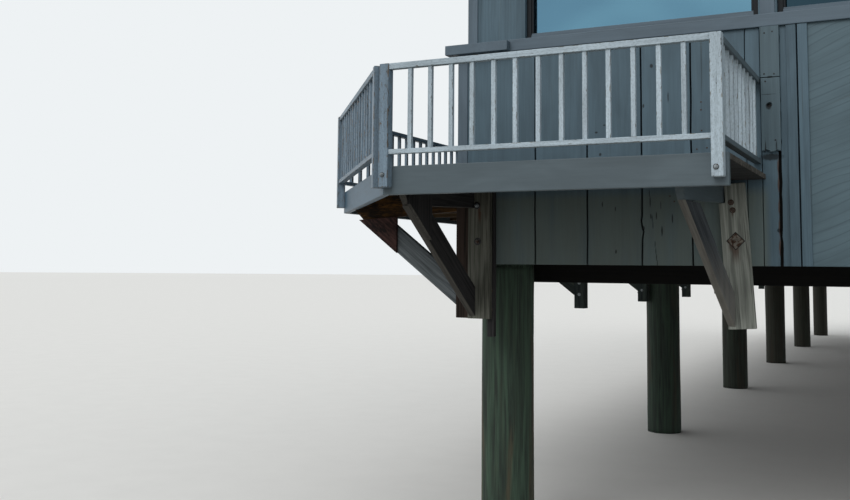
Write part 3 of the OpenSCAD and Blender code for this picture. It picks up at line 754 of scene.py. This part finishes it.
def pile(boards, deep, centre, height, radius, seed, tone):
    """One pile's round face, with checks and a little sway. Deep takes each point's share in a check."""
    around, tall, swells, grooves, check_half, dark_from = 72, 46, 0.005, 0.0022, 0.055, 0.005
    index = boards.start(Z, tone)
    ranges = ((0, math.tau), (0.2, 1.3), (0.3, 0.9), (0.004, 0.009))
    checks = [[rng.uniform(*ends) for ends in ranges] for _ in range(7)]
    rings = []
    for j in range(tall + 1):
        z = height * j / tall
        calm = min(1.0, (height - z) / 0.1, z / 0.02 + 0.3)
        ring = []
        for k in range(around):
            angle = math.tau * k / around
            out = Vector((math.cos(angle), math.sin(angle), 0))
            relief = noise.noise(seed + out * 1.3 + Z * z * 0.9) * swells
            relief += noise.noise(seed + out * 9.0 + Z * z * 0.8) * grooves
            split = 0.0
            for a, mid, half, depth in checks:
                off = (angle - a - 0.12 * math.sin(z * 2.2 + a) + math.pi) % math.tau - math.pi
                reach = max(0.0, 1 - abs(z - mid) / half)
                split = max(split, depth * min(1.0, reach * 3) * max(0.0, 1 - abs(off) / check_half))
            r = radius + calm * (relief - split)
            ring.append(boards.bm.verts.new(centre + out * r + Z * z))
            deep.append(min(1.0, split * calm / dark_from))
        rings.append(ring)
    boards.tube(rings, index)


def piles(rows):
    """Each row's two piles, round below the building, and their notched heads between the girders."""
    nodes = [f"pile_row_{row}" for row in range(1, rows + 1)]
    sides, heads = Boards(), Boards()
    deep = []
    top_gap, head_below, head_tone = 0.004, 0.02, 0.3
    for row, node in enumerate(nodes, 1):
        low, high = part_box(node)
        radius = (high.y - low.y) / 2
        for x in (low.x + radius, high.x - radius):
            # The first two rows' tones are the photograph's
            tone = (0.15, 0.65)[row - 1] if row < 3 else rng.uniform(0.75, 1.0)
            # A higher tone darkens a pile, as painted shade: the rows further under the building the most
            centre = Vector((x, (low.y + high.y) / 2, low.z))
            pile(sides, deep, centre, corner.z - top_gap - low.z, radius, Vector((row * 7.3, x, 2.0)), tone)
    made = sides.done("pile_sides", pile_wood, "pile_timber", 0, smooth=True)
    made.data.attributes.new("deep", "FLOAT", "POINT").data.foreach_set("value", deep)
    for node in nodes:
        heads.whole(part_below(cad(node), place(0, 0, -head_below), -Z), Z, head_tone)
    heads.done("pile_heads", pile_wood, "pile_timber", 0.002, nodes)


piles(sum(1 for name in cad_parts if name.startswith("pile_row_")))
timber("cross_girder_timbers", frame_wood_painted_shade, "frame_timber", ["cross_girders"], 0.004, along=X)
timber("floor_joist_timbers", frame_wood_painted_shade, "frame_timber", ["floor_joists"])
planks("floor_planks", floor_wood, "floor_timber", "floor_boards", 0.002, 1, 0.002)

# Balcony

planks("front_deck_boards", deck_wood, "deck_timber", "front_deck", 0.003, 1, 0.005)
planks("side_deck_boards", deck_wood, "deck_timber", "side_deck", 0.003, 0, 0.005)
timber("deck_joist_timbers", joist_wood, "deck_timber", ["deck_joists"])
timber("corner_joist_timber", orange_wood, "deck_timber", ["bracket_joists"], span=(-0.4, -0.3))
timber("side_bracket_joists", joist_wood, "deck_timber", ["bracket_joists"], span=(-0.6, -0.4))
timber("front_left_joist", dark_bracket, "deck_timber", ["bracket_joists"], span=(0, 1))
timber("front_right_joist", joist_paint, "deck_timber", ["bracket_joists"], span=(1, 2))
timber("edge_boards", edge_paint, "trim_paint", ["front_edge_board", "side_edge_board"], 0.004)
# The cut edge board takes the bluer paint, as painted sky light
timber("cut_edge_trim", cut_edge_painted_sky_light, "trim_paint", ["cut_edge_board"], 0.004)
timber("left_plank_board", left_plank_wood, "bracket_timber", ["front_left_plank"])
timber("right_plank_board", right_plank_wood, "bracket_timber", ["front_right_plank"])
timber("front_braces", dark_bracket, "bracket_timber", ["front_left_brace", "front_gusset", "plank_hanger"])
timber("front_right_brace_board", grey_brace, "bracket_timber", ["front_right_brace"])
timber("corner_brace_board", corner_wood, "bracket_timber", ["corner_brace"])
timber("corner_stud_board", stud_wood, "stained_timber", ["corner_stud"])
timber("corner_gusset_board", stained, "stained_timber", ["corner_gusset"])
timber("side_bracket_timbers", side_bracket, "bracket_timber", ["side_studs", "side_braces"])
timber("right_post_timber", railing_paint, "rail_timber", ["front_posts"], 0.004, span=(1, 2))
# The left and side posts take the darker rail paint, as painted shade
timber("left_post_timbers", worn_rail_paint_painted_shade, "rail_timber", ["front_posts"], 0.004, span=(-2, 1))
timber("side_post_timbers", worn_rail_paint_painted_shade, "rail_timber", ["side_posts"], 0.004)


def railing(boards, start, end, rails):
    """Two rails with balusters between them, from one point in x and y to another along their middle line."""
    half_rail, top_h, low_h, half, pitch, uneven = 0.019, 0.030, 0.024, 0.011, 0.114, 0.002
    top, low = corner.z + 1.0, corner.z + 0.54
    run = Vector((*end, 0)) - Vector((*start, 0))
    length = run.length
    turn = Matrix.Translation((*start, 0)) @ run.to_track_quat("X", "Z").to_matrix().to_4x4()
    rails.box((0, -half_rail, top - top_h), (length, half_rail, top), turn)
    rails.box((0, -half_rail, low), (length, half_rail, low + low_h), turn)
    count = round(length / pitch) - 1
    for k in range(1, count + 1):
        x = length * k / (count + 1) + rng.uniform(-uneven, uneven)
        lean = Matrix.Rotation(rng.uniform(-0.004, 0.004), 4, "X")
        foot = Matrix.Translation((x, 0, low + 0.01))
        boards.box((-half, -half, 0), (half, half, top - low - top_h - 0.005), turn @ foot @ lean)


def railings():
    """All railings of the balcony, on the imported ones' middle lines."""
    half_rail, bevel = 0.019, 0.0025
    front, shaded, rails_in_painted_shade = Boards(), Boards(), Boards()
    low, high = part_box("front_railing")
    middle = (low.y + high.y) / 2
    railing(front, (low.x, middle), (high.x, middle), front)
    low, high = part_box("end_railings")
    x, y = high.x - half_rail, high.y - half_rail
    railing(front, (x, low.y), (x, corner.y), shaded)
    railing(front, (low.x, y), (corner.x, y), shaded)
    # The end railings' rails take the darker edge board paint, as painted shade
    shaded.done("end_rails", edge_paint, "rail_timber", bevel)
    front.done("front_railing_boards", railing_paint, "rail_timber", bevel, ["front_railing", "end_railings"])
    low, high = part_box("cut_railing")
    inset = half_rail * Vector((high.x - low.x, high.y - low.y)).normalized()
    # The cut and side railings take the darker rail paint, as painted shade
    railing(rails_in_painted_shade, (high.x - inset.y, low.y + inset.x), (low.x + inset.y, high.y - inset.x), rails_in_painted_shade)
    low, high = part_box("side_railing")
    middle = (low.x + high.x) / 2
    posts = y_places("side_posts")
    for start, end in zip([low.y] + posts[1::2], posts[0::2]):
        railing(rails_in_painted_shade, (middle, start), (middle, end), rails_in_painted_shade)
    rails_in_painted_shade.done("side_railing_boards", worn_rail_paint_painted_shade, "rail_timber", bevel, ["cut_railing", "side_railing"])


railings()

# Windows and door

# How far the walls above the sill stand inside the lower ones
set_in = 0.045


def long_side(low, high):
    """0 for a window in an end wall, which is wide in x, and 1 for one in a side wall."""
    return 0 if high.x - low.x > high.y - low.y else 1


def framing(low, high, wide, thick, first):
    """The four bars of a frame, as low and high corners: two at the first axis' ends, two between."""
    second = wide + 2 - first
    for axis, inset in ((first, 0.0), (second, thick)):
        for a, b in ((low[axis], low[axis] + thick), (high[axis] - thick, high[axis])):
            p, q = low.copy(), high.copy()
            p[first] += inset
            q[first] -= inset
            p[axis], q[axis] = a, b
            yield p, q


def windows():
    """Members, beads and a pane in each opening; the lower member is painted as the sill is."""
    frames, sills, panes = Boards(), Boards(), Boards()
    member, bead, bead_depth, bead_out, wall_depth = 0.028, 0.012, 0.012, 0.016, 0.2
    for low, high in solid_boxes("window_frames"):
        wide = long_side(low, high)
        deep = 1 - wide
        bars = list(framing(low, high, wide, member, wide))
        middle = (low[deep] + high[deep]) / 2
        for near in (middle - bead_out, middle + bead_out):
            inner_low, inner_high = low.copy(), high.copy()
            for axis in (wide, 2):
                inner_low[axis] += member
                inner_high[axis] -= member
            inner_low[deep], inner_high[deep] = near - bead_depth / 2, near + bead_depth / 2
            bars += framing(inner_low, inner_high, wide, bead, 2)
        for p, q in bars:
            (sills if q.z < (low.z + high.z) / 2 else frames).box(p, q)
    frames.done("window_members", window_paint, "trim_paint", 0.0015, ["window_frames"])
    sills.done("window_sill_members", trim, "trim_paint", 0.0015)
    front_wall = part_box("front_upper_wall")[0].y
    for low, high in solid_boxes("window_glass"):
        if high.y < front_wall + wall_depth:
            # The pane at the corner mirrors the sky in a bright tone, a painted reflection; the next ones
            # don't, in a dark tone
            tone = 0.95 if low.x < corner.x + 1 else 0.0
        else:
            tone = rng.uniform(0.3, 0.9)
        panes.box(low, high, along=Z, tone=tone)
    panes.done("window_panes", pane, "window_pane", 0.001, ["window_glass"])


def door():
    """A framed plank door with its casing, hinges and lever handle."""
    low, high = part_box("balcony_door")
    stile, rail, planks, plank_gap = 0.10, 0.16, 7, 0.002
    middle = (low.x + high.x) / 2
    leaf = Boards()
    for y in (low.y, high.y - stile):
        leaf.box((low.x, y, low.z), (high.x, y + stile, high.z))
    for z, h in ((low.z, 0.22), (low.z + 0.95, rail), (high.z - rail, rail)):
        leaf.box((low.x, low.y + stile, z), (high.x, high.y - stile, z + h), along=Y)
    inner = high.y - low.y - 2 * stile
    for k in range(planks):
        y = low.y + stile + inner * k / planks
        end = y + inner / planks - plank_gap
        leaf.box((middle - 0.010, y, low.z + 0.2), (middle + 0.010, end, high.z - rail + 0.02))
    leaf.done("door_leaf", siding, "wall_paint", 0.003, ["balcony_door"])
    casing = Boards()
    wide, out = 0.075, 0.012
    upper_face = corner.x + set_in
    for lower, face, top in ((low.z, corner.x, sill_top - 0.07), (sill_top, upper_face, high.z)):
        for y in (low.y - wide, high.y):
            casing.box((face - out, y, lower), (face, y + wide, top))
    casing.box((upper_face - out, low.y - wide, high.z), (upper_face, high.y + wide, high.z + wide), along=Y)
    casing.done("door_casing", trim, "trim_paint", 0.003)
    fittings = Boards()
    for z in (low.z + 0.25, low.z + 1.0, high.z - 0.25):
        fittings.box((low.x - 0.003, high.y - 0.055, z), (low.x, high.y - 0.004, z + 0.09))
        fittings.turned([(0.006, 0), (0.006, 0.09)], 12, Vector((low.x - 0.005, high.y - 0.002, z)), Z)
    handle = Vector((low.x, low.y + 0.055, low.z + 1.02))
    fittings.box(handle + Vector((-0.004, -0.02, -0.08)), handle + Vector((0, 0.02, 0.08)))
    fittings.turned([(0.009, 0), (0.009, 0.045)], 16, handle, -X)
    fittings.box(handle + Vector((-0.055, -0.009, -0.009)), handle + Vector((-0.040, 0.12, 0.009)))
    fittings.done("door_fittings", galvanised, None, 0.0011)


def wall_battens():
    """Battens over the panel seams, and boards between the windows."""
    boards = Boards()
    batten_t, batten, mullion, out, widest_post = 0.014, 0.05, 0.076, 0.010, 0.4
    for x in front_edges[sheets_from + 2:]:
        middle = corner.x + x
        boards.box((middle - batten / 2, corner.y - batten_t, corner.z),
                   (middle + batten / 2, corner.y, wall_top - 0.001))
    spans = {}
    for low, high in solid_boxes("window_frames"):
        wide = long_side(low, high)
        line = (wide, round((low[1 - wide] + high[1 - wide]) / 2, 3))
        spans.setdefault(line, []).append((low[wide], high[wide]))
    soffit_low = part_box("soffit_boards")[0].z
    frames_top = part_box("window_frames")[1].z
    door_low, door_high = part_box("balcony_door")
    for (wide, line), found in spans.items():
        found.sort()
        near = line < (corner[1 - wide] + far_corner[1 - wide]) / 2
        face = corner[1 - wide] + set_in if near else far_corner[1 - wide] - set_in
        depth = (face - out, face) if near else (face, face + out)
        for (_, end), (start, _) in zip(found, found[1:]):
            middle = (start + end) / 2
            if wide == 1 and near and door_low.y < middle < door_high.y:
                continue
            # A wide gap is a stretch of wall with a seam in it, a narrow one is a post between two windows
            board, top = (batten, soffit_low) if start - end > widest_post else (mullion, frames_top)
            p, q = Vector((0, 0, sill_top)), Vector((0, 0, top))
            p[wide], q[wide] = middle - board / 2, middle + board / 2
            p[1 - wide], q[1 - wide] = depth
            boards.box(p, q)
    boards.done("battens_and_mullions", trim, "trim_paint", 0.002)


windows()
door()
wall_battens()

# Roof

def shingled(boards, eave_start, eave_end, top_start, top_end):
    """Courses of shingles up one face, from its eave to its top line or point."""
    exposure, tab, thick, gap, lap = 0.145, 0.305, 0.011, 0.004, 0.02
    overhang, shift, uneven = 0.012, 0.06, 0.004
    along = (eave_end - eave_start).normalized()
    up = top_start - eave_start
    up -= along * up.dot(along)
    slope = up.length
    up.normalize()
    out = along.cross(up)
    length = (eave_end - eave_start).length
    start_in = (top_start - eave_start).dot(along)
    end_in = (top_end - eave_start).dot(along)

    def span(t):
        share = min(1.0, t / slope)
        return start_in * share, length + (end_in - length) * share

    course = 0
    t = -overhang
    while t < slope - lap:
        top = min(slope, t + exposure + lap)
        low, high = span(max(0.0, t)), span(top)
        x = low[0] - (course % 2) * tab / 2 - rng.uniform(0, shift)
        while x < low[1]:
            a0, b0 = max(x, low[0]), min(x + tab - gap, low[1])
            a1, b1 = max(x, high[0]), min(x + tab - gap, high[1])
            x += tab
            if b0 - a0 < gap:
                continue
            if b1 - a1 < 0.002:
                # A shingle cut by a hip ends in a point, kept 2 mm wide
                middle = min(max((a1 + b1) / 2, a0), b0)
                a1, b1 = middle - 0.001, middle + 0.001
            index = boards.start(up)
            drop = rng.uniform(-uneven, uneven)
            corners = []
            for lift_low, lift_top in ((0.0, 0.0), (thick, 0.004)):
                for a, b, s, lift in ((a0, b0, t + drop, lift_low), (a1, b1, top, lift_top)):
                    base = eave_start + up * s + out * (lift + clear)
                    corners += [boards.bm.verts.new(base + along * a), boards.bm.verts.new(base + along * b)]
            boards.block(corners, index)
        t += exposure
        course += 1


def caps(boards, start, end, left_down, right_down, limits):
    """Folded caps along a hip or the ridge, each lying over the one before, trimmed to the eaves."""
    step, long, wing, thick, below, foot_lift, top_lift = 0.15, 0.22, 0.11, 0.008, 0.01, 0.024, 0.012
    run = end - start
    along = run.normalized()
    up = (-(left_down + right_down)).normalized()
    left, right = left_down * wing, right_down * wing
    outline = [left, Vector(), right, right - up * thick, -up * thick, left - up * thick]
    count = int(run.length / step)
    for k in range(count):
        s = run.length * k / count
        index = boards.start(along)
        rings = []
        for t, lift in ((s - below, foot_lift), (min(run.length, s + long), top_lift)):
            points = [start + along * t + up * lift + offset for offset in outline]
            for point in points:
                point.x = min(max(point.x, limits[0].x), limits[1].x)
                point.y = min(max(point.y, limits[0].y), limits[1].y)
            rings.append([boards.bm.verts.new(point) for point in points])
        for k2 in range(6):
            n = (k2 + 1) % 6
            boards.face([rings[0][k2], rings[0][n], rings[1][n], rings[1][k2]], index)
        for ring in rings:
            boards.face([ring[0], ring[1], ring[4], ring[5]], index)
            boards.face([ring[1], ring[2], ring[3], ring[4]], index)


def roof():
    """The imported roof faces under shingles, with caps on the hips and the ridge."""
    low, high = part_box("roof_left")
    right_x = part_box("roof_right")[1].x
    slab = 0.06
    eave_z = low.z + slab
    front_left, front_right, rear_left, rear_right = (
        Vector((x, y, eave_z)) for y in (low.y, high.y) for x in (low.x, right_x))
    ridge_front = Vector((high.x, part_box("roof_front")[1].y, high.z))
    ridge_rear = Vector((high.x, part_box("roof_rear")[0].y, high.z))
    boards = Boards()
    shingled(boards, front_left, front_right, ridge_front, ridge_front)
    shingled(boards, front_right, rear_right, ridge_front, ridge_rear)
    shingled(boards, rear_right, rear_left, ridge_rear, ridge_rear)
    shingled(boards, rear_left, front_left, ridge_rear, ridge_front)
    boards.done("roof_shingles", shingle, "roof_cover", 0)
    folded = Boards()
    past_eave = (X + Y) * 0.014
    limits = (front_left - past_eave, rear_right + past_eave)
    rise = (high.z - eave_z) / (high.x - low.x)
    left, right, front, rear = (-1, 0), (1, 0), (0, -1), (0, 1)
    downs = {side: Vector((side[0], side[1], -rise)).normalized() for side in (left, right, front, rear)}
    hips = ((front_left, ridge_front, (left, front)), (front_right, ridge_front, (front, right)),
            (rear_right, ridge_rear, (right, rear)), (rear_left, ridge_rear, (rear, left)))
    for start, end, sides in hips:
        wings = []
        for side in sides:
            face_normal = Vector((side[0] * rise, side[1] * rise, 1)).normalized()
            wing = face_normal.cross((end - start).normalized()).normalized()
            wings.append(wing if wing.dot(downs[side]) > 0 else -wing)
        caps(folded, start, end, *wings, limits)
    caps(folded, ridge_front, ridge_rear, downs[left], downs[right], limits)
    folded.done("roof_caps", shingle, "roof_cover", 0)
    slopes = ["roof_left", "roof_right", "roof_front", "roof_rear"]
    timber("roof_boarding", soffit_wood, "soffit_timber", slopes)
    timber("eave_fascia", trim, "trim_paint", ["eave_boards"], 0.004)
    timber("soffit_panels", soffit_wood, "soffit_timber", ["soffit_boards"], 0.002)


roof()

# Fastenings

def bolt(boards, at, out, across=0.020, washer=0.022, square=False):
    """A washer, round or square, with a six-sided head and the bolt's end on it."""
    thick = 0.003
    if square:
        boards.turned([(washer, 0.0), (washer, thick), (washer * 0.96, thick + 0.0015)], 4, at, out)
    else:
        boards.turned([(washer, 0.0), (washer, thick * 0.7), (washer * 0.93, thick)], 24, at, out)
    head = at + out * thick
    radius = across / math.sqrt(3)
    boards.turned([(radius, 0.0), (radius, 0.007), (radius * 0.86, 0.0095)], 6, head, out, rng.uniform(0, 1))
    boards.turned([(across * 0.27, 0.0), (across * 0.27, 0.014), (across * 0.2, 0.016)], 12, head, out)


def fastenings():
    """Bolts on the posts and brackets, plates at the wall, and nails in the boards."""
    clean, dark, square, rusted = Boards(), Boards(), Boards(), Boards()
    # At the front posts' feet
    for x, y, z in ((0.111, -1.156, 0.437), (1.736, -1.156, 0.416)):
        dark.turned([(0.0125, 0.0), (0.0125, 0.0015), (0.0115, 0.002)], 24, place(x, y, z), -Y)
        bolt(clean, place(x, y - 0.001, z), -Y, 0.014, 0.010)
    # On the front brackets, whose boards lie in two layers
    outer_face, inner_face = -0.076, -0.038
    for x, z in ((0.152, 0.346), (0.157, 0.133)):
        point = place(x, outer_face, z)
        dark.turned([(0.022, 0.0), (0.022, 0.002), (0.020, 0.003)], 24, point, -Y)
        bolt(clean if z > 0.2 else rusted, point - Y * 0.003, -Y, 0.019, 0.012)
    for z in (-0.155, -0.266):
        bolt(rusted, place(0.2255, inner_face, z), -Y, 0.014, 0.013)
    for x, z in ((1.606, 0.336), (1.614, 0.294)):
        bolt(rusted, place(x, inner_face, z), -Y, 0.018, 0.016)
    diamond = place(1.627, inner_face, 0.131)
    dark.turned([(0.049, 0.0), (0.049, 0.001), (0.048, 0.0015)], 4, diamond, -Y)
    bolt(square, diamond - Y * 0.001, -Y, 0.024, 0.043, True)
    # A dark disc on the wall face: painted shade for a deep bolt hole there
    dark.turned([(0.0125, 0.0), (0.0125, 0.001)], 24, place(1.805, 0, 0.845), -Y)
    # On the side brackets and posts
    low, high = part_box("side_studs")
    for start in y_places("side_studs")[0::2]:
        for z in (-0.26, 0.12):
            bolt(rusted, Vector((low.x, start + 0.062, corner.z + z)), -X, 0.019, 0.019)
        for z in (-0.14, -0.235):
            bolt(clean, Vector((high.x - 0.045, start, corner.z + z)), -Y, 0.014, 0.013)
    post_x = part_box("side_posts")[0].x
    for start in y_places("side_posts")[0::2]:
        bolt(clean, Vector((post_x, start + 0.026, corner.z + 0.42)), -X, 0.016, 0.017)
    # Angle plates where the end railing meets the wall
    for z in (0.946, 0.591):
        foot = place(1.7215, -0.003, z)
        clean.box(foot - Vector((0.030, 0, 0.030)), foot + Vector((0, 0.003, 0.030)))
        clean.box(foot - Vector((0.003, 0.040, 0.020)), foot + Vector((0, -clear, 0.020)))
    # Nails
    nail = [(0.0045, -0.002), (0.0045, 0.0008), (0.003, 0.0016)]
    for x, z in ((1.451, 0.891), (1.450, 0.848), (1.452, 0.734), (1.425, 0.633), (1.479, 0.638),
                 (1.275, 0.380), (1.299, 0.350)):
        rusted.turned(nail, 12, place(x, 0, z), -Y)
    for x, z in ((1.785, 1.015), (1.835, 1.012), (1.79, 0.975), (1.83, 1.24), (1.79, 1.235), (1.835, 0.66)):
        dark.turned(nail, 12, place(x, -0.022, z), -Y)
    clean.done("bolts", galvanised, None, 0)
    dark.done("washers_nails_and_painted_hole_shade", dark_steel, None, 0)
    square.done("square_washer", washer_steel, None, 0)
    rusted.done("rusty_bolts", rusty, None, 0)


fastenings()

# Camera, light and floor

def look_from():
    """The camera at the photograph's place and angle, with its lens in pixels."""
    view_w, view_h, lens, horizon = 850, 500, 984.8, 181
    made = bpy.data.cameras.new("camera")
    camera = shown("camera", made)
    bearing, rise, roll = (math.radians(a) for a in (-26.870, 4.978, -0.518))
    forward = Vector((math.sin(bearing) * math.cos(rise), math.cos(bearing) * math.cos(rise), math.sin(rise)))
    level = Vector((math.cos(bearing), -math.sin(bearing), 0))
    upward = level.cross(forward)
    right = math.cos(roll) * level - math.sin(roll) * upward
    up = math.sin(roll) * level + math.cos(roll) * upward
    turn = Matrix((right, up, -forward)).transposed()
    camera.matrix_world = Matrix.Translation(place(2.514, -5.424, -0.019)) @ turn.to_4x4()
    made.sensor_width = 36
    made.lens = lens / view_w * 36
    made.shift_y = (horizon - view_h / 2) / view_w
    made.clip_end = 400
    bpy.context.scene.camera = camera


def lights(sky, lamp):
    """An even pale sky, with one broad lamp for form. The background shows to the camera, gloss and glass."""
    world = bpy.data.worlds.new("sky")
    bpy.context.scene.world = world
    world.use_nodes = True
    world.node_tree.nodes.clear()
    nodes = Nodes(world.node_tree)
    kind = "ShaderNodeBackground"
    light = nodes.node(kind, {"Color": (0.96, 0.98, 1.0, 1), "Strength": sky}).outputs[0]
    backdrop = nodes.node(kind, {"Color": srgb("eef2f4"), "Strength": 1.0}).outputs[0]
    choice = nodes.node("ShaderNodeMixShader", {0: nodes.seen_directly(), 1: light, 2: backdrop}).outputs[0]
    nodes.node("ShaderNodeOutputWorld", {"Surface": choice})
    made = bpy.data.lights.new("lamp", "SUN")
    made.energy = lamp
    made.angle = math.radians(30)
    toward = Vector((-0.12, -0.85, 0.60))
    shown("lamp", made).matrix_world = toward.to_track_quat("Z", "Y").to_matrix().to_4x4()


def ground_floor(radius):
    """A wide pale floor with a fine grain, at the piles' feet."""
    bm = bmesh.new()
    at = Matrix.Translation(Z * ground)
    bmesh.ops.create_circle(bm, cap_ends=True, segments=96, radius=radius, matrix=at)
    mesh = bpy.data.meshes.new("floor")
    bm.to_mesh(mesh)
    bm.free()
    look = Look("floor_plain", 0.95)
    seen = look.vary(srgb("e3e2de"), look.noise(look.where(), (3, 3, 3), 6.0), 0.97, 1.02)
    look.colour(look.mix(look.seen_directly(), srgb("a09e98"), seen))
    mesh.materials.append(look.material)
    shown("floor", mesh)


look_from()
lights(sky=0.80, lamp=1.0)
ground_floor(180)
bpy.context.scene.view_settings.view_transform = "Standard"
